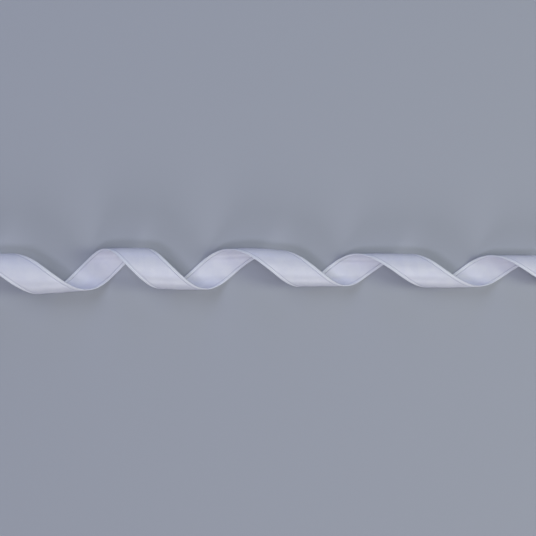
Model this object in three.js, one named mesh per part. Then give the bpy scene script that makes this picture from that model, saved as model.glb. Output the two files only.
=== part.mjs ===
// A length of satin ribbon lying in a loose corkscrew, made as one closed solid.
// Millimetres, +Z up. The coil runs along X, and the ribbon rests on Z = 0.
import * as THREE from "three";

// Ribbon
const ribbonWidth = 10;
const ribbonThickness = 1;

// Coil. It is wound right-handed about X.
const rowsPerHalfTurn = 22;
const columnsAcross = 2;

// Section of the coil, seen along X. It is lower than it is wide, and it lies flat below.
const section = {
  steps: 600,
  bends: [1, -0.328, 0.03, -0.18], // mean bend, and how it rises and falls 1, 2 and 3 times round
  flat: 0.025, // share of a turn that lies flat on the surface, on each side of the lowest line
  easing: 0.065, // share of a turn in which the bend grows beside the flat
};

// Outline of the coil seen from above: how far its turns reach from the X axis to the far
// side (top) and to the near side (bottom). The coil wanders, so it isn't centred on X.
const outline = [
  { x: -100, top: 5.0, bottom: -8.1 },
  { x: -70, top: 4.5, bottom: -8.0 },
  { x: -44, top: 6.2, bottom: -6.2 },
  { x: -22, top: 5.4, bottom: -6.7 },
  { x: -4, top: 6.1, bottom: -5.8 },
  { x: 14, top: 4.5, bottom: -5.7 },
  { x: 36, top: 4.5, bottom: -5.6 },
  { x: 56, top: 4.0, bottom: -6.1 },
  { x: 80, top: 3.9, bottom: -4.9 },
  { x: 110, top: 3.1, bottom: -5.1 },
];

// Where the ribbon's middle line crosses the coil's axis, each half turn: over it at a whole
// turn, and under it, where it lies on the surface, half a turn before and after that.
const crossings = [
  { turn: -0.5, x: -102.9 },
  { turn: 0, x: -73.7 },
  { turn: 0.5, x: -52.4 },
  { turn: 1, x: -35.0 },
  { turn: 1.5, x: -15.8 },
  { turn: 2, x: 7.6 },
  { turn: 2.5, x: 25.4 },
  { turn: 3, x: 46.2 },
  { turn: 3.5, x: 67.1 },
  { turn: 4, x: 86.8 },
  { turn: 4.5, x: 103.4 },
];

// Cut ends. Past the first and the last crossing the ribbon runs straight on along the
// surface to a square cut, and the last few millimetres lift a little.
const tailRows = 18;
const tails = {
  left: { length: 22, squaredOver: 14, liftedOver: 8, lift: 1.2 },
  right: { length: 24, squaredOver: 14, liftedOver: 9, lift: 0.7 },
};

// Smooth curve through a table's points, running straight on past both of its ends.
function curveThrough(points) {
  const end = points.length - 1;
  const grade = (i) => (points[i + 1].y - points[i].y) / (points[i + 1].x - points[i].x);
  const slopes = points.map((point, i) => {
    if (i === 0) return grade(0);
    if (i === end) return grade(end - 1);
    const before = point.x - points[i - 1].x;
    const after = points[i + 1].x - point.x;
    return (grade(i - 1) * after + grade(i) * before) / (before + after);
  });
  return (x) => {
    if (x <= points[0].x) return points[0].y + slopes[0] * (x - points[0].x);
    if (x >= points[end].x) return points[end].y + slopes[end] * (x - points[end].x);
    let i = 0;
    while (x > points[i + 1].x) i += 1;
    const step = points[i + 1].x - points[i].x;
    const t = (x - points[i].x) / step;
    const u = 1 - t;
    return (
      points[i].y * u * u * (1 + 2 * t) +
      points[i + 1].y * t * t * (1 + 2 * u) +
      slopes[i] * step * t * u * u -
      slopes[i + 1] * step * t * t * u
    );
  };
}

function smoothStep(t) {
  const inside = Math.min(Math.max(t, 0), 1);
  return inside * inside * (3 - 2 * inside);
}

// Half of the section, from over the axis to under it, walked in equal steps that turn by the
// bend at each place. It is sized for a half width of 1.
function sectionShape() {
  const { steps, bends, flat, easing } = section;
  const turned = [];
  for (let i = 0; i < steps; i += 1) {
    const angle = (Math.PI * (i + 0.5)) / steps;
    const bend = bends.reduce((sum, wave, times) => sum + wave * Math.cos(times * angle), 0);
    const fromLowest = (1 - (i + 0.5) / steps) / 2;
    turned.push(bend * smoothStep((fromLowest - flat) / easing));
  }
  const whole = turned.reduce((sum, turn) => sum + turn, 0);
  const out = [0];
  const down = [0];
  let heading = 0;
  turned.forEach((turn, i) => {
    const change = (Math.PI * turn) / whole;
    out.push(out[i] + Math.cos(heading + change / 2));
    down.push(down[i] + Math.sin(heading + change / 2));
    heading += change;
  });
  const drift = out[steps] / steps;
  const closed = out.map((distance, i) => distance - drift * i);
  const widest = Math.max(...closed);
  return {
    out: closed.map((distance) => distance / widest),
    height: down.map((distance) => Math.max(down[steps] - distance, 0) / widest),
    around: (2 * steps) / widest,
  };
}

const outlineStart = outline[0].x;
const outlineEnd = outline[outline.length - 1].x;
const topCurve = curveThrough(outline.map((row) => ({ x: row.x, y: row.top })));
const bottomCurve = curveThrough(outline.map((row) => ({ x: row.x, y: row.bottom })));
const turnCurve = curveThrough(crossings.map((row) => ({ x: row.x, y: row.turn })));
const shape = sectionShape();

const first = crossings[0];
const last = crossings[crossings.length - 1];

// The coil's section at x: half its width, the length once round it, and its centre.
function sectionAt(x) {
  const inside = Math.min(Math.max(x, outlineStart), outlineEnd);
  const top = topCurve(inside);
  const bottom = bottomCurve(inside);
  const halfWidth = (top - bottom) / 2;
  return { halfWidth, around: halfWidth * shape.around, centre: (top + bottom) / 2 };
}

// Point of the outer face for a place along the coil and a number of turns. At 0 it is over
// the axis, a quarter turn on it is at the near side, and at half a turn it is under it.
function facePoint(x, turn) {
  const { halfWidth, around, centre } = sectionAt(x);
  const wound = Math.min(Math.max(turn, first.turn), last.turn);
  const part = wound - Math.floor(wound);
  const nearSide = part < 0.5;
  const place = 2 * (nearSide ? part : 1 - part) * section.steps;
  const i = Math.min(Math.floor(place), section.steps - 1);
  const mix = (values) => values[i] + (values[i + 1] - values[i]) * (place - i);
  const out = nearSide ? mix(shape.out) : -mix(shape.out);
  const y = centre - halfWidth * out + around * (turn - wound);
  return new THREE.Vector3(x, y, halfWidth * mix(shape.height));
}

// Angle between the ribbon's middle line and the coil's axis, where the row at x crosses it.
function leanAt(x) {
  const reach = 0.05;
  const rate = (turnCurve(x + reach) - turnCurve(x - reach)) / (2 * reach);
  return Math.atan(sectionAt(x).around * rate);
}

// Point of the outer face on the row at x, at a distance across from the middle line. Rows
// of the coil run along X, as a rolled sheet's straight lines do, and rows of a tail are
// brought round until they lie square to the ribbon.
function rowPoint(x, across) {
  const lean = leanAt(x);
  const left = x < first.x;
  const tail = left ? tails.left : tails.right;
  const beyond = Math.max(first.x - x, x - last.x, 0) / Math.cos(lean);
  const square = smoothStep(beyond / tail.squaredOver);
  const along = square * Math.sin(lean) + (1 - square) / Math.sin(lean);
  const back = (square * across * Math.cos(lean)) / sectionAt(x).around;
  const point = facePoint(x + across * along, turnCurve(x) - back);
  const lifted = Math.max(beyond - (tail.length - tail.liftedOver), 0) / tail.liftedOver;
  point.z += tail.lift * lifted * lifted;
  return point;
}

function outwardAt(x, across) {
  const reach = 0.1;
  const alongStep = rowPoint(x + reach, across).sub(rowPoint(x - reach, across));
  const acrossStep = rowPoint(x, across + reach).sub(rowPoint(x, across - reach));
  return alongStep.cross(acrossStep).normalize();
}

// Places of the rows: through one tail, the half turns, and the other tail.
function rowPlaces() {
  const places = [];
  const leftReach = tails.left.length * Math.cos(leanAt(first.x - 1));
  const rightReach = tails.right.length * Math.cos(leanAt(last.x + 1));
  for (let i = 0; i < tailRows; i += 1) {
    places.push(first.x - leftReach * (1 - i / tailRows));
  }
  for (let i = 0; i + 1 < crossings.length; i += 1) {
    const step = (crossings[i + 1].x - crossings[i].x) / rowsPerHalfTurn;
    for (let k = 0; k < rowsPerHalfTurn; k += 1) places.push(crossings[i].x + k * step);
  }
  for (let i = 0; i <= tailRows; i += 1) {
    places.push(last.x + (rightReach * i) / tailRows);
  }
  return places;
}

// The solid: the outer face, the inner face one thickness in, two edges and two cut ends.
function ribbonGeometry() {
  const places = rowPlaces();
  const rows = places.length;
  const columns = columnsAcross + 1;
  const positions = [];
  for (const depth of [0, ribbonThickness]) {
    for (const x of places) {
      for (let c = 0; c < columns; c += 1) {
        const across = ribbonWidth * (c / columnsAcross - 0.5);
        const point = rowPoint(x, across).addScaledVector(outwardAt(x, across), -depth);
        positions.push(point.x, point.y, point.z);
      }
    }
  }
  const outer = (r, c) => r * columns + c;
  const inner = (r, c) => rows * columns + r * columns + c;
  const triangles = [];
  const quad = (a, b, c, d) => triangles.push(a, b, c, a, c, d);
  for (let r = 0; r + 1 < rows; r += 1) {
    for (let c = 0; c < columnsAcross; c += 1) {
      quad(outer(r, c), outer(r + 1, c), outer(r + 1, c + 1), outer(r, c + 1));
      quad(inner(r, c), inner(r, c + 1), inner(r + 1, c + 1), inner(r + 1, c));
    }
    quad(outer(r, 0), inner(r, 0), inner(r + 1, 0), outer(r + 1, 0));
    quad(
      outer(r, columnsAcross),
      outer(r + 1, columnsAcross),
      inner(r + 1, columnsAcross),
      inner(r, columnsAcross),
    );
  }
  for (let c = 0; c < columnsAcross; c += 1) {
    quad(outer(0, c), outer(0, c + 1), inner(0, c + 1), inner(0, c));
    quad(outer(rows - 1, c), inner(rows - 1, c), inner(rows - 1, c + 1), outer(rows - 1, c + 1));
  }
  const geometry = new THREE.BufferGeometry();
  geometry.setAttribute("position", new THREE.Float32BufferAttribute(positions, 3));
  geometry.setIndex(triangles);
  return geometry;
}

// The origin is put under the middle of the finished shape, on the surface.
const geometry = ribbonGeometry();
geometry.computeBoundingBox();
const middle = geometry.boundingBox.getCenter(new THREE.Vector3());
geometry.translate(-middle.x, -middle.y, -geometry.boundingBox.min.z);
geometry.computeVertexNormals();

const satin = new THREE.MeshStandardMaterial({ color: 0xd9dbe6, roughness: 0.4, metalness: 0 });
satin.name = "satin";

const ribbon = new THREE.Mesh(geometry, satin);
ribbon.name = "ribbon";

const part = new THREE.Group();
part.name = "satin_ribbon_length";
part.add(ribbon);

export default part;
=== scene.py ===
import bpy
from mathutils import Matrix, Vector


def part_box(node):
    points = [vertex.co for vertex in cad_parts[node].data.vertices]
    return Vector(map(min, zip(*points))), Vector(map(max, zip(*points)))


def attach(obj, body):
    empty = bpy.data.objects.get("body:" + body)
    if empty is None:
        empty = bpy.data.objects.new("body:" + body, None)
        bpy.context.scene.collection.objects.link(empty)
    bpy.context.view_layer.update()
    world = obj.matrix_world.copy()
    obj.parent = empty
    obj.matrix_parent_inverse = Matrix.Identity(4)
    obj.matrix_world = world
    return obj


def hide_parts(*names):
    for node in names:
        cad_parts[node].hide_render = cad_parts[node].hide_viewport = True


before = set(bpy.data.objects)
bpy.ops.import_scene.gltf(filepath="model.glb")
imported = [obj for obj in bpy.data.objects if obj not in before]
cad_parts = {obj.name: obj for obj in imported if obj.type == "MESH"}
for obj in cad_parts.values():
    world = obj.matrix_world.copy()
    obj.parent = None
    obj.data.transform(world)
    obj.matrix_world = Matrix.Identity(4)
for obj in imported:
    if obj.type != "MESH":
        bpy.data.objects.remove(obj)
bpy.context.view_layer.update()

import math

import bpy
from mathutils import Matrix, Vector

mm = 0.001
scene = bpy.context.scene
bpy.ops.object.select_all(action="DESELECT")


# The coil that the ribbon lies in, in millimetres. X runs along it from the picture's middle.
coil = {
    "width": 10.0,
    "solidThickness": 1.0,     # of the CAD solid, whose outer face the ribbon shares
    "sectionSteps": 600,
    "bends": (1, -0.328, 0.03, -0.18),   # mean bend, and its rise and fall 1, 2 and 3 times round
    "flat": 0.025,             # share of a turn that lies flat, on each side of the lowest line
    "easing": 0.065,           # share of a turn in which the bend grows beside the flat
    "outline": [               # x, reach to the far side, reach to the near side
        (-100, 5.0, -8.1),
        (-70, 4.5, -8.0),
        (-44, 6.2, -6.2),
        (-22, 5.4, -6.7),
        (-4, 6.1, -5.8),
        (14, 4.5, -5.7),
        (36, 4.5, -5.6),
        (56, 4.0, -6.1),
        (80, 3.9, -4.9),
        (110, 3.1, -5.1),
    ],
    "crossings": [             # x, turn: over the coil's axis at whole turns, under it between them
        (-102.9, -0.5),
        (-73.7, 0.0),
        (-52.4, 0.5),
        (-35.0, 1.0),
        (-15.8, 1.5),
        (7.6, 2.0),
        (25.4, 2.5),
        (46.2, 3.0),
        (67.1, 3.5),
        (86.8, 4.0),
        (103.4, 4.5),
    ],
    "leftTail": {"length": 22, "squaredOver": 14, "liftedOver": 8, "lift": 1.2},
    "rightTail": {"length": 24, "squaredOver": 14, "liftedOver": 9, "lift": 0.7},
}


def smoothStep(t):
    t = min(max(t, 0.0), 1.0)
    return t * t * (3 - 2 * t)


def curveThrough(points):
    # a smooth curve through the points, running straight on past both ends
    end = len(points) - 1

    def grade(i):
        return (points[i + 1][1] - points[i][1]) / (points[i + 1][0] - points[i][0])

    slopes = [grade(0)]
    for i in range(1, end):
        before = points[i][0] - points[i - 1][0]
        after = points[i + 1][0] - points[i][0]
        slopes.append((grade(i - 1) * after + grade(i) * before) / (before + after))
    slopes.append(grade(end - 1))

    def at(x):
        if x <= points[0][0]:
            return points[0][1] + slopes[0] * (x - points[0][0])
        if x >= points[end][0]:
            return points[end][1] + slopes[end] * (x - points[end][0])
        i = 0
        while x > points[i + 1][0]:
            i += 1
        step = points[i + 1][0] - points[i][0]
        t = (x - points[i][0]) / step
        u = 1 - t
        return (
            points[i][1] * u * u * (1 + 2 * t)
            + points[i + 1][1] * t * t * (1 + 2 * u)
            + slopes[i] * step * t * u * u
            - slopes[i + 1] * step * t * t * u
        )

    return at


def sectionShape():
    # half of the coil's section, from over its axis to under it, for a half width of 1: it is
    # walked in equal steps that turn by the bend at each place
    steps = coil["sectionSteps"]
    turned = []
    for i in range(steps):
        angle = math.pi * (i + 0.5) / steps
        bend = sum(wave * math.cos(times * angle) for times, wave in enumerate(coil["bends"]))
        fromLowest = (1 - (i + 0.5) / steps) / 2
        turned.append(bend * smoothStep((fromLowest - coil["flat"]) / coil["easing"]))
    whole = sum(turned)
    out = [0.0]
    down = [0.0]
    heading = 0.0
    for turn in turned:
        change = math.pi * turn / whole
        out.append(out[-1] + math.cos(heading + change / 2))
        down.append(down[-1] + math.sin(heading + change / 2))
        heading += change
    drift = out[-1] / steps
    out = [distance - drift * i for i, distance in enumerate(out)]
    widest = max(out)
    height = [max(down[-1] - distance, 0) / widest for distance in down]
    return [distance / widest for distance in out], height, 2 * steps / widest


outlineStart = coil["outline"][0][0]
outlineEnd = coil["outline"][-1][0]
farCurve = curveThrough([(x, far) for x, far, near in coil["outline"]])
nearCurve = curveThrough([(x, near) for x, far, near in coil["outline"]])
turnCurve = curveThrough(coil["crossings"])
shapeOut, shapeHeight, shapeAround = sectionShape()
firstX, firstTurn = coil["crossings"][0]
lastX, lastTurn = coil["crossings"][-1]


def sectionAt(x):
    # half width of the coil's section, the length once round it, and its centre
    x = min(max(x, outlineStart), outlineEnd)
    far = farCurve(x)
    near = nearCurve(x)
    halfWidth = (far - near) / 2
    return halfWidth, halfWidth * shapeAround, (far + near) / 2


def facePoint(x, turn):
    # point of the outer face: over the axis at turn 0, at the near side a quarter turn on
    halfWidth, around, centre = sectionAt(x)
    wound = min(max(turn, firstTurn), lastTurn)
    part = wound % 1
    nearSide = part < 0.5
    place = 2 * (part if nearSide else 1 - part) * coil["sectionSteps"]
    i = min(int(place), coil["sectionSteps"] - 1)
    share = place - i
    out = shapeOut[i] + (shapeOut[i + 1] - shapeOut[i]) * share
    height = shapeHeight[i] + (shapeHeight[i + 1] - shapeHeight[i]) * share
    y = centre - halfWidth * (out if nearSide else -out) + around * (turn - wound)
    return Vector((x, y, halfWidth * height))


def leanAt(x):
    # angle between the ribbon's middle line and the coil's axis
    reach = 0.05
    rate = (turnCurve(x + reach) - turnCurve(x - reach)) / (2 * reach)
    return math.atan(sectionAt(x)[1] * rate)


def squareAt(x, lean):
    # 0 where a row runs along the coil's axis, 1 where it lies square to the ribbon
    tail = coil["leftTail"] if x < firstX else coil["rightTail"]
    beyond = max(firstX - x, x - lastX, 0) / math.cos(lean)
    return smoothStep(beyond / tail["squaredOver"]), beyond, tail


def rowPoint(x, across):
    # point of the outer face on the row at x, at a distance across from the middle line
    lean = leanAt(x)
    square, beyond, tail = squareAt(x, lean)
    along = square * math.sin(lean) + (1 - square) / math.sin(lean)
    back = square * across * math.cos(lean) / sectionAt(x)[1]
    point = facePoint(x + across * along, turnCurve(x) - back)
    lifted = max(beyond - (tail["length"] - tail["liftedOver"]), 0) / tail["liftedOver"]
    point.z += tail["lift"] * lifted * lifted
    return point


def facingAt(x, across):
    # outward normal, and the direction along the ribbon's edge
    reach = 0.1
    alongStep = rowPoint(x + reach, across) - rowPoint(x - reach, across)
    acrossStep = rowPoint(x, across + reach) - rowPoint(x, across - reach)
    return alongStep.cross(acrossStep).normalized(), alongStep.normalized()


leftEnd = firstX - coil["leftTail"]["length"] * math.cos(leanAt(firstX - 1))
rightEnd = lastX + coil["rightTail"]["length"] * math.cos(leanAt(lastX + 1))


def pictureMiddle():
    # where the picture's middle lies in the frame: the solid's box is that of its two cut ends
    corners = []
    for x in (leftEnd, rightEnd):
        for across in (-coil["width"] / 2, coil["width"] / 2):
            point = rowPoint(x, across)
            corners.append(point)
            corners.append(point - facingAt(x, across)[0] * coil["solidThickness"])
    low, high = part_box("ribbon")
    middle = []
    for axis in (0, 1):
        values = [corner[axis] for corner in corners]
        middle.append((low[axis] + high[axis]) / 2 - (min(values) + max(values)) / 2 * mm)
    return Vector((middle[0], middle[1], 0))


middle = pictureMiddle()
print("picture's middle at", tuple(middle))


# Camera: straight above, as the picture was taken.
view = {
    "height": 480.0,           # mm above the surface
    "focusHeight": 5.0,        # mm, half way up the coil, where the picture's scale is true
    "mmPerPixel": 0.306,
    "pixels": 536,
    "sensor": 36.0,
    "clip": (0.01, 20),        # m
}


def makeCamera():
    seen = view["mmPerPixel"] * view["pixels"]
    above = middle + Vector((0, 0, view["height"] * mm))
    bpy.ops.object.camera_add(location=above, rotation=(0, 0, 0))
    camera = bpy.context.object
    camera.name = "cameraAbove"
    camera.data.sensor_width = view["sensor"]
    camera.data.lens = view["sensor"] * (view["height"] - view["focusHeight"]) / seen
    camera.data.clip_start, camera.data.clip_end = view["clip"]
    scene.camera = camera


makeCamera()
print("camera placed")


# The woven strip, in millimetres.
strip = {
    "halfWidth": 4.93,         # the selvage loops reach on to the full width
    "rowsPerHalfTurn": 100,
    "tailRows": 66,
    "thickness": 0.36,         # at the selvage, where it is thickest
    "profile": [               # distance in from the edge, share of that thickness
        (0.0, 0.30),
        (0.05, 0.72),
        (0.13, 0.94),
        (0.28, 1.0),
        (0.55, 1.0),
        (0.78, 0.92),
        (0.88, 0.70),
        (0.95, 0.50),
        (1.02, 0.50),
        (1.09, 0.66),
        (1.22, 0.80),
        (1.6, 0.80),
        (2.2, 0.80),
        (2.9, 0.80),
        (3.6, 0.80),
        (4.3, 0.80),
        (4.93, 0.80),
    ],
    "sideShift": 1.3,          # of the edge waves at one side, in radians
    "waves": [                 # length, lean, height, share that only the edges have
        (7.3, 0.35, 0.035, 1.0),
        (4.1, -0.5, 0.018, 1.0),
        (13.0, 0.9, 0.030, 0.3),
    ],
}


def wavesAt(along, across):
    # slight unevenness of the cloth, stronger towards the edges
    height = 0.0
    outer = (abs(across) / strip["halfWidth"]) ** 3
    side = strip["sideShift"] if across > 0 else 0.0
    for length, lean, high, edgeShare in strip["waves"]:
        share = 1 - edgeShare + edgeShare * outer
        angle = 2 * math.pi * along / length + lean * across + side * edgeShare
        height += high * share * math.sin(angle)
    return height


def rowPlaces():
    places = []
    tailRows = strip["tailRows"]
    for i in range(tailRows):
        places.append(leftEnd + (firstX - leftEnd) * i / tailRows)
    crossings = coil["crossings"]
    for i in range(len(crossings) - 1):
        step = (crossings[i + 1][0] - crossings[i][0]) / strip["rowsPerHalfTurn"]
        for k in range(strip["rowsPerHalfTurn"]):
            places.append(crossings[i][0] + k * step)
    for i in range(tailRows + 1):
        places.append(lastX + (rightEnd - lastX) * i / tailRows)
    return places


def columnPlaces():
    near = [(-strip["halfWidth"] + inward, share) for inward, share in strip["profile"]]
    far = [(-across, share) for across, share in reversed(near[:-1])]
    return near + far


rows = rowPlaces()
columns = columnPlaces()


def middleLine():
    # length of the ribbon from its left end to each row
    lengths = [0.0]
    here = rowPoint(rows[0], 0)
    for x in rows[1:]:
        there = rowPoint(x, 0)
        lengths.append(lengths[-1] + (there - here).length)
        here = there
    return lengths


lengths = middleLine()


def flatPlace(i, across):
    # place on the flat ribbon before it was wound: along and across
    lean = leanAt(rows[i])
    square = squareAt(rows[i], lean)[0]
    return lengths[i] + (1 - square) * across / math.tan(lean), across


def makeStrip():
    bpy.ops.mesh.primitive_grid_add(
        x_subdivisions=len(rows) - 1,
        y_subdivisions=len(columns) - 1,
        size=1,
    )
    ribbon = bpy.context.object
    ribbon.name = "satinStrip"
    ribbon.data.name = "satinStrip"
    mesh = ribbon.data

    # each vertex's row and column, from its place on the flat grid
    spots = []
    for vertex in mesh.vertices:
        i = round((vertex.co.x + 0.5) * (len(rows) - 1))
        k = round((vertex.co.y + 0.5) * (len(columns) - 1))
        spots.append((i, k))

    flat = {}
    for i in range(len(rows)):
        for k in range(len(columns)):
            flat[(i, k)] = flatPlace(i, columns[k][0])
    cloth = mesh.uv_layers[0]
    cloth.name = "cloth"
    for loop in mesh.loops:
        cloth.data[loop.index].uv = flat[spots[loop.vertex_index]]

    # wind the flat grid, half a thickness inside the outer face
    thickness = ribbon.vertex_groups.new(name="thickness")
    for vertex, (i, k) in zip(mesh.vertices, spots):
        across, share = columns[k]
        facing = facingAt(rows[i], across)[0]
        inward = strip["thickness"] / 2 - wavesAt(*flat[(i, k)])
        point = rowPoint(rows[i], across) - facing * inward
        point.z = max(point.z, strip["thickness"] / 2)
        vertex.co = middle + point * mm
        thickness.add([vertex.index], share, "REPLACE")

    bpy.ops.object.shade_smooth()
    bpy.ops.object.modifier_add(type="SOLIDIFY")
    solidify = ribbon.modifiers[-1]
    solidify.thickness = strip["thickness"] * mm
    solidify.offset = 0
    solidify.vertex_group = "thickness"
    bpy.ops.object.modifier_apply(modifier=solidify.name)
    return ribbon


ribbon = makeStrip()
print("strip wound:", len(ribbon.data.polygons), "faces,", round(lengths[-1], 1), "mm long")


# Weft loops: the thread that turns at each edge, once for every other pick.
loops = {
    "pitch": 0.43,
    "radius": 0.095,
    "thread": 0.075,
    "inFromEdge": 0.03,        # of a loop's middle, from the strip's edge
    "around": 6,
    "sides": 5,
    "lean": 0.15,              # radians that a loop leans along the edge
}


def makeOneLoop():
    # half a torus that stands round the edge: X out from the edge, Z out of the face. It is cut
    # at a thousand times its size, because the cut merges what lies closer together than 0.1 mm
    bpy.ops.object.select_all(action="DESELECT")
    bpy.ops.mesh.primitive_torus_add(
        major_segments=2 * loops["around"],
        minor_segments=loops["sides"],
        major_radius=loops["radius"],
        minor_radius=loops["thread"],
        rotation=(math.pi / 2, 0, 0),
    )
    loop = bpy.context.object
    bpy.ops.object.transform_apply(location=False, rotation=True, scale=False)
    bpy.ops.object.mode_set(mode="EDIT")
    bpy.ops.mesh.select_all(action="SELECT")
    bpy.ops.mesh.bisect(plane_co=(0, 0, 0), plane_no=(1, 0, 0), clear_inner=True, use_fill=True)
    bpy.ops.mesh.normals_make_consistent(inside=False)
    bpy.ops.object.mode_set(mode="OBJECT")
    return loop


def edgePlaces(across):
    # x of the row that meets this edge at each pitch along it
    found = []
    wanted = loops["pitch"] / 4    # on the crest of a selvage rib
    for i in range(len(rows) - 1):
        here = flatPlace(i, across)[0]
        there = flatPlace(i + 1, across)[0]
        while here <= wanted < there:
            share = (wanted - here) / (there - here)
            found.append(rows[i] + (rows[i + 1] - rows[i]) * share)
            wanted += loops["pitch"]
        if here > wanted:
            wanted += loops["pitch"] * math.ceil((here - wanted) / loops["pitch"])
    return found


def makeLoops():
    one = makeOneLoop()
    shape = [vertex.co * mm for vertex in one.data.vertices]
    faces = [list(polygon.vertices) for polygon in one.data.polygons]
    points = []
    quads = []
    for side in (-1, 1):
        across = side * (strip["halfWidth"] - loops["inFromEdge"])
        for x in edgePlaces(across):
            facing, along = facingAt(x, across)
            outward = along.cross(facing) * -side
            place = rowPoint(x, across) - facing * strip["thickness"] / 2
            place.z = max(place.z, strip["thickness"] / 2)
            turned = Matrix.Rotation(loops["lean"] * side, 3, facing)
            outward = turned @ outward
            axis = turned @ along
            start = len(points)
            for co in shape:
                point = middle + place * mm + outward * co.x + axis * co.y + facing * co.z
                points.append(point)
            for face in faces:
                quads.append([start + k for k in face])
    mesh = bpy.data.meshes.new("weftLoops")
    mesh.from_pydata(points, [], quads)
    mesh.update()
    made = bpy.data.objects.new("weftLoops", mesh)
    scene.collection.objects.link(made)
    bpy.data.objects.remove(one, do_unlink=True)
    bpy.ops.object.select_all(action="DESELECT")
    made.select_set(True)
    bpy.context.view_layer.objects.active = made
    bpy.ops.object.mode_set(mode="EDIT")
    bpy.ops.mesh.select_all(action="SELECT")
    bpy.ops.mesh.normals_make_consistent(inside=False)
    bpy.ops.object.mode_set(mode="OBJECT")
    bpy.ops.object.shade_smooth()
    return made


weftLoops = makeLoops()
print("weft loops:", len(weftLoops.data.polygons), "faces")


# Node helpers
def addNode(tree, kind, **settings):
    node = tree.nodes.new(kind)
    for name, value in settings.items():
        setattr(node, name, value)
    return node


def setInput(tree, socket, value):
    if isinstance(value, bpy.types.NodeSocket):
        tree.links.new(value, socket)
    else:
        socket.default_value = value


def calculate(tree, operation, *values):
    node = addNode(tree, "ShaderNodeMath", operation=operation)
    for socket, value in zip(node.inputs, values):
        setInput(tree, socket, value)
    return node.outputs[0]


def fade(tree, value, fromLow, fromHigh, toLow=0.0, toHigh=1.0):
    # smooth change of a value from one level to another
    node = addNode(tree, "ShaderNodeMapRange", interpolation_type="SMOOTHSTEP")
    for socket, given in zip(node.inputs, (value, fromLow, fromHigh, toLow, toHigh)):
        setInput(tree, socket, given)
    return node.outputs[0]


def mixColours(tree, factor, first, second, blend="MIX"):
    node = addNode(tree, "ShaderNodeMix", data_type="RGBA", blend_type=blend)
    setInput(tree, node.inputs[0], factor)
    setInput(tree, node.inputs[6], first)
    setInput(tree, node.inputs[7], second)
    return node.outputs[2]


def mixValues(tree, factor, first, second):
    node = addNode(tree, "ShaderNodeMix", data_type="FLOAT")
    setInput(tree, node.inputs[0], factor)
    setInput(tree, node.inputs[2], first)
    setInput(tree, node.inputs[3], second)
    return node.outputs[0]


# Weave of the ribbon, on the flat cloth's own millimetres.
weave = {
    "endPitch": 0.18,          # of the warp threads, which float along the ribbon
    "pickPitch": 0.215,        # of the weft
    "repeat": 5,               # picks that a warp thread floats over
    "step": 2,                 # picks that the binding point moves from one thread to the next
    "selvage": 1.0,
    "rib": 0.43,               # pitch of the cross ribs in the selvage, two picks
    "pickSlant": 0.12,
    "blend": 0.04,             # on each side of the selvage's line
    "grooveShade": (0.04, 0.20),    # of the groove's painted shade, from its line: where it is full, and where it ends
    "bindReach": (0.34, 0.5),  # share of the repeat from a float's middle, where it dips
    "bindHeight": 0.35,        # of a float where the weft binds it
}


def makeWeaveGroup():
    group = bpy.data.node_groups.new("satinWeave", "ShaderNodeTree")
    face = group.interface
    face.new_socket(name="Cloth", in_out="INPUT", socket_type="NodeSocketVector")
    for name in ("Height", "Selvage", "GrooveShade", "Rib", "Pick"):
        face.new_socket(name=name, in_out="OUTPUT", socket_type="NodeSocketFloat")
    entry = addNode(group, "NodeGroupInput")
    result = addNode(group, "NodeGroupOutput")
    split = addNode(group, "ShaderNodeSeparateXYZ")
    group.links.new(entry.outputs["Cloth"], split.inputs[0])
    along = split.outputs[0]
    across = split.outputs[1]
    fromMiddle = calculate(group, "ABSOLUTE", across)
    line = coil["width"] / 2 - weave["selvage"]

    # selvage, and the groove beside it, marked for painted shade
    selvage = fade(group, fromMiddle, line - weave["blend"], line + weave["blend"])
    fromLine = calculate(group, "ABSOLUTE", calculate(group, "SUBTRACT", fromMiddle, line))
    grooveShade = fade(group, fromLine, *weave["grooveShade"], 1.0, 0.0)
    ribTurn = 2 * math.pi / weave["rib"]
    wave = calculate(group, "SINE", calculate(group, "MULTIPLY", along, ribTurn))
    rib = calculate(group, "MULTIPLY_ADD", wave, 0.5, 0.5)

    # every other pick shows a little through the floats, and its line slants a little on the face;
    # the material paints shade along these lines
    slanted = calculate(group, "MULTIPLY_ADD", across, weave["pickSlant"], along)
    crossed = calculate(group, "SINE", calculate(group, "MULTIPLY", slanted, ribTurn))
    pick = calculate(group, "MULTIPLY_ADD", crossed, -0.5, 0.5)

    # warp floats, each round across its thread and dipping where the weft binds it
    threads = calculate(group, "DIVIDE", across, weave["endPitch"])
    thread = calculate(group, "ROUND", threads)
    off = calculate(group, "MULTIPLY", calculate(group, "SUBTRACT", threads, thread), 2.0)
    roundness = calculate(group, "SUBTRACT", 1.0, calculate(group, "MULTIPLY", off, off))
    picks = calculate(group, "DIVIDE", along, weave["pickPitch"])
    shifted = calculate(group, "MULTIPLY_ADD", thread, float(weave["step"]), picks)
    place = calculate(group, "FRACT", calculate(group, "DIVIDE", shifted, float(weave["repeat"])))
    fromBind = calculate(group, "ABSOLUTE", calculate(group, "SUBTRACT", place, 0.5))
    floated = fade(group, fromBind, *weave["bindReach"], 1.0, weave["bindHeight"])
    satin = calculate(group, "MULTIPLY", roundness, floated)

    height = mixValues(group, selvage, satin, rib)
    group.links.new(height, result.inputs["Height"])
    group.links.new(selvage, result.inputs["Selvage"])
    group.links.new(grooveShade, result.inputs["GrooveShade"])
    group.links.new(rib, result.inputs["Rib"])
    group.links.new(pick, result.inputs["Pick"])
    return group


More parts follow.
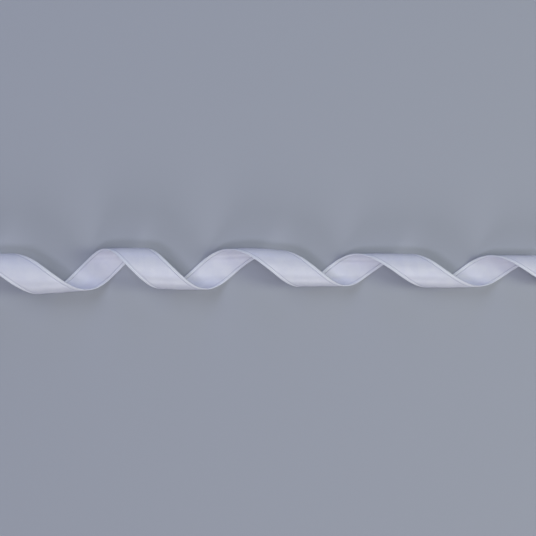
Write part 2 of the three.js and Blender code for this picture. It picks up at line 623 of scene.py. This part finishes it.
satin = {
    "colour": (0.80, 0.79, 0.86, 1),
    "between": (0.70, 0.70, 0.79, 1),    # painted shade between the warp threads and where the weft binds them down
    # painted highlight on the crests of the selvage's ribs, paler than the face
    "selvage": (0.92, 0.92, 0.95, 1),
    "selvageGapShade": (0.74, 0.74, 0.82, 1),  # painted shade between the selvage's ribs
    # painted shade in the groove beside the selvage, also used on the picks' cross lines
    "grooveShade": (0.34, 0.33, 0.46, 1),
    "grooveShadeShare": (0.04, 0.95),         # of the groove's painted shade, on a rib and between two
    "pickShade": 0.05,                   # of the painted shade along the fine cross lines that the picks leave on the face
    "cloudTint": (0.965, 0.965, 0.985, 1),
    "cloudScale": 0.35,
    "cloudDetail": 3,
    "cloudRange": (0.35, 0.65),
    "threadTop": 0.6,                    # height from which a thread has its full colour
    "ribRange": (0.2, 0.8),
    "roughness": 0.30,
    "selvageRoughness": 0.6,
    "bump": 0.35,
    "bumpDepth": 0.02,
    "anisotropy": 0.45,
    "specular": 0.5,
    "sheen": 0.05,
    "sheenRoughness": 0.4,
}


def makeSatin(weaveGroup):
    material = bpy.data.materials.new("paleSatin")
    material.use_nodes = True
    tree = material.node_tree
    shader = tree.nodes["Principled BSDF"]
    uv = addNode(tree, "ShaderNodeUVMap", uv_map="cloth")
    woven = addNode(tree, "ShaderNodeGroup", node_tree=weaveGroup)
    tree.links.new(uv.outputs[0], woven.inputs["Cloth"])

    # uneven dye and sheen over the length
    spread = addNode(tree, "ShaderNodeTexNoise", noise_dimensions="2D")
    spread.inputs["Scale"].default_value = satin["cloudScale"]
    spread.inputs["Detail"].default_value = satin["cloudDetail"]
    tree.links.new(uv.outputs[0], spread.inputs["Vector"])
    cloudy = fade(tree, spread.outputs[0], *satin["cloudRange"])

    # the face: painted shade where the threads lie low, and the picks' fine cross lines darkened
    # with painted shade
    raised = fade(tree, woven.outputs["Height"], 0.0, satin["threadTop"])
    body = mixColours(tree, raised, satin["between"], satin["colour"])
    pickShadeMask = calculate(tree, "MULTIPLY", woven.outputs["Pick"], satin["pickShade"])
    body = mixColours(tree, pickShadeMask, body, satin["grooveShade"])

    # painted highlight on the selvage's ribs and painted shade between them, and the groove's
    # painted shade, dotted, beside it
    ribLightAndShade = mixColours(tree, woven.outputs["Rib"], satin["selvageGapShade"], satin["selvage"])
    edged = mixColours(tree, woven.outputs["Selvage"], body, ribLightAndShade)
    onRib, betweenRibs = satin["grooveShadeShare"]
    share = fade(tree, woven.outputs["Rib"], *satin["ribRange"], betweenRibs, onRib)
    dottedGrooveShade = calculate(tree, "MULTIPLY", woven.outputs["GrooveShade"], share)
    withGrooveShade = mixColours(tree, dottedGrooveShade, edged, satin["grooveShade"])
    clouded = mixColours(tree, 1.0, withGrooveShade, satin["cloudTint"], "MULTIPLY")
    tree.links.new(mixColours(tree, cloudy, withGrooveShade, clouded), shader.inputs["Base Color"])

    smooth, coarse = satin["roughness"], satin["selvageRoughness"]
    rough = mixValues(tree, woven.outputs["Selvage"], smooth, coarse)
    tree.links.new(rough, shader.inputs["Roughness"])
    shader.inputs["Anisotropic"].default_value = satin["anisotropy"]
    shader.inputs["Specular IOR Level"].default_value = satin["specular"]
    shader.inputs["Sheen Weight"].default_value = satin["sheen"]
    shader.inputs["Sheen Roughness"].default_value = satin["sheenRoughness"]
    tangent = addNode(tree, "ShaderNodeTangent", direction_type="UV_MAP", uv_map="cloth")
    tree.links.new(tangent.outputs[0], shader.inputs["Tangent"])

    bump = addNode(tree, "ShaderNodeBump")
    bump.inputs["Strength"].default_value = satin["bump"]
    bump.inputs["Distance"].default_value = satin["bumpDepth"] * mm
    tree.links.new(woven.outputs["Height"], bump.inputs["Height"])
    tree.links.new(bump.outputs[0], shader.inputs["Normal"])
    return material


loopThread = {
    "dark": (0.78, 0.77, 0.84, 1),
    "light": (0.90, 0.90, 0.93, 1),
    "scale": 9000,
    "range": (0.3, 0.7),
    "roughness": 0.5,
}


def makeThread():
    material = bpy.data.materials.new("weftThread")
    material.use_nodes = True
    tree = material.node_tree
    shader = tree.nodes["Principled BSDF"]
    place = addNode(tree, "ShaderNodeTexCoord")
    fine = addNode(tree, "ShaderNodeTexNoise")
    fine.inputs["Scale"].default_value = loopThread["scale"]
    tree.links.new(place.outputs["Object"], fine.inputs["Vector"])
    patch = fade(tree, fine.outputs[0], *loopThread["range"])
    tint = mixColours(tree, patch, loopThread["dark"], loopThread["light"])
    tree.links.new(tint, shader.inputs["Base Color"])
    shader.inputs["Roughness"].default_value = loopThread["roughness"]
    return material


paleSatin = makeSatin(makeWeaveGroup())
weftThread = makeThread()
ribbon.data.materials.clear()
ribbon.data.materials.append(paleSatin)
weftLoops.data.materials.append(weftThread)
print("materials made")


# Stage: a plain floor and soft studio light, whiter from the right and bluer from the far side.
stage = {
    "floorSize": 4.0,
    "floorDrop": 0.00004,      # m below the ribbon, so that the two faces never meet
    "floorColour": (0.42, 0.43, 0.48, 1),
    "floorRoughness": 0.9,
    "floorSpecular": 0.1,
    "world": (0.62, 0.66, 0.80, 1),
    "worldStrength": 0.03,
    "lights": [  # name, place about the picture's middle, size and power in m and W, colour
        ("softNearLow", (0.0, -0.742, 0.300), 0.30, 1.38, (0.86, 0.88, 0.98)),
        ("softNearHigh", (0.0, -0.313, 0.736), 0.20, 1.22, (0.80, 0.82, 1.0)),
        ("softRight", (0.671, 0.0, 0.436), 0.30, 2.25, (0.94, 1.0, 0.84)),
        ("softFarLeft", (-0.400, 0.400, 0.566), 0.50, 1.85, (0.74, 0.82, 1.0)),
        ("softFarLow", (0.0, 0.742, 0.300), 0.40, 0.68, (0.28, 0.38, 0.92)),
        ("softTop", (0.0, 0.0, 0.800), 0.25, 0.92, (0.97, 0.99, 0.95)),
    ],
}


def makeStage():
    bpy.ops.mesh.primitive_plane_add(size=stage["floorSize"], location=(0, 0, -stage["floorDrop"]))
    floor = bpy.context.object
    floor.name = "floor"
    paint = bpy.data.materials.new("floorPaint")
    paint.use_nodes = True
    shader = paint.node_tree.nodes["Principled BSDF"]
    shader.inputs["Base Color"].default_value = stage["floorColour"]
    shader.inputs["Roughness"].default_value = stage["floorRoughness"]
    shader.inputs["Specular IOR Level"].default_value = stage["floorSpecular"]
    floor.data.materials.append(paint)
    for name, place, size, power, colour in stage["lights"]:
        at = middle + Vector(place)
        aim = (middle - at).to_track_quat("-Z", "Y").to_euler()
        bpy.ops.object.light_add(type="AREA", location=at, rotation=aim)
        light = bpy.context.object
        light.name = name
        light.data.shape = "DISK"
        light.data.size = size
        light.data.energy = power
        light.data.color = colour
    world = bpy.data.worlds.new("studio")
    scene.world = world
    world.use_nodes = True
    background = world.node_tree.nodes["Background"]
    background.inputs["Color"].default_value = stage["world"]
    background.inputs["Strength"].default_value = stage["worldStrength"]
    scene.view_settings.view_transform = "Standard"


makeStage()
print("stage and lights set")

for piece in (ribbon, weftLoops):
    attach(piece, "root")
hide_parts("ribbon")
